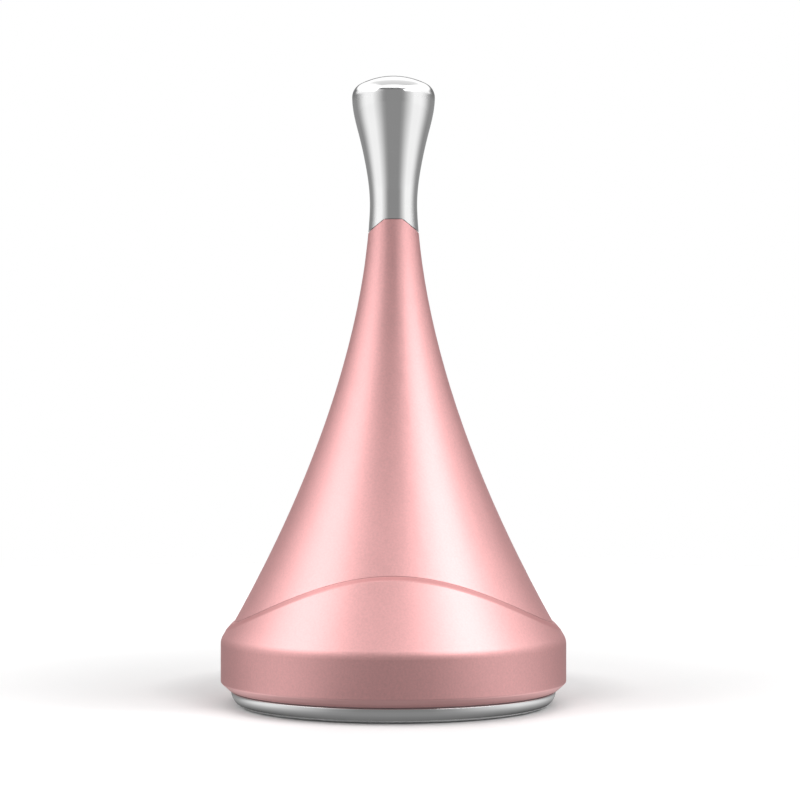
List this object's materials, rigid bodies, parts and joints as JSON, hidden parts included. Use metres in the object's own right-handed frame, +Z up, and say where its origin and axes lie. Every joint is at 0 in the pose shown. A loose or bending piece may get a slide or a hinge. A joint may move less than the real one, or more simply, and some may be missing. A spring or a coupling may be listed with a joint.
{
  "type": "cooling facial massager",
  "caption": "Hand-held cooling facial massager: bell-shaped painted handle, polished steel tip for the eyes and a chilled polished steel plate for the face.",
  "frame": {"origin": "centre of the steel plate's flat contact face, on the handle's axis, where the massager stands", "axes": "+Z up the handle's axis to the steel tip, -Y towards the front, +Y towards the button and the charging socket"},
  "size_m": [0.0692, 0.0692, 0.126],
  "materials": {
    "rose_paint": "satin metallic",
    "polished_steel": "mirror polished",
    "black_rubber": "matte",
    "zinc_screw": "plated",
    "thermal_pad": "soft matte",
    "white_ceramic": "matte",
    "semiconductor": "dull grey",
    "grey_foam": "closed-cell foam",
    "plain_aluminium": "as machined",
    "frame_plastic": "moulded",
    "battery_wrap": "shrink wrap",
    "nickel_strip": "plain",
    "circuit_board": "solder mask",
    "chip_black": "moulded",
    "capacitor_tan": "fired",
    "button_paint": "satin metallic",
    "switch_red": "moulded",
    "clear_ring": "milky clear",
    "led_lens": "clear",
    "socket_steel": "nickel plated",
    "motor_steel": "drawn",
    "weight_brass": "sintered",
    "red_wire": "insulation",
    "black_wire": "insulation"
  },
  "bodies": {
    "handle": {"handle_shell": "rose_paint", "base_collar": "rose_paint", "cooling_plate": "polished_steel", "massage_tip": "polished_steel", "plate_gasket": "black_rubber", "tip_seal": "black_rubber", "motor_sleeve": "black_rubber", "tip_screw": "zinc_screw", "heat_sink_screws": "zinc_screw", "frame_screws": "zinc_screw", "board_screws": "zinc_screw", "switch_board_screws": "zinc_screw", "charging_board_screws": "zinc_screw", "cold_thermal_pad": "thermal_pad", "hot_thermal_pad": "thermal_pad", "module_cold_ceramic": "white_ceramic", "module_hot_ceramic": "white_ceramic", "module_pellets": "semiconductor", "insulation_ring": "grey_foam", "battery_pad": "grey_foam", "heat_sink": "plain_aluminium", "inner_frame": "frame_plastic", "battery_cell": "battery_wrap", "battery_negative_tab": "nickel_strip", "battery_positive_tab": "nickel_strip", "main_board": "circuit_board", "switch_board": "circuit_board", "charging_board": "circuit_board", "controller_chip": "chip_black", "charge_chip": "chip_black", "power_inductor": "chip_black", "usb_tongue": "chip_black", "switch_body": "chip_black", "temperature_sensor": "chip_black", "board_capacitors": "capacitor_tan", "light_ring": "clear_ring", "indicator_leds": "led_lens", "usb_receptacle": "socket_steel", "motor_can": "motor_steel", "battery_lead": "red_wire", "module_leads": "red_wire", "motor_leads": "black_wire", "sensor_lead": "black_wire", "switch_lead": "black_wire", "charging_lead": "black_wire"},
    "power_button": {"button_cap": "button_paint", "button_seal": "black_rubber", "switch_plunger": "switch_red"},
    "motor_rotor": {"motor_shaft": "motor_steel", "eccentric_weight": "weight_brass"}
  },
  "joints": [
    {"name": "power_button_press", "type": "slide", "parent": "handle", "child": "power_button", "axis": [0, -0.9116, -0.4111], "range_m": [0, 0.0005], "stiffness_N_per_m": 1200},
    {"name": "motor_weight_spin", "type": "hinge", "parent": "handle", "child": "motor_rotor", "pos_m": [0, 0, 0.07639], "axis": [0, 0, 1], "continuous": true}
  ]
}
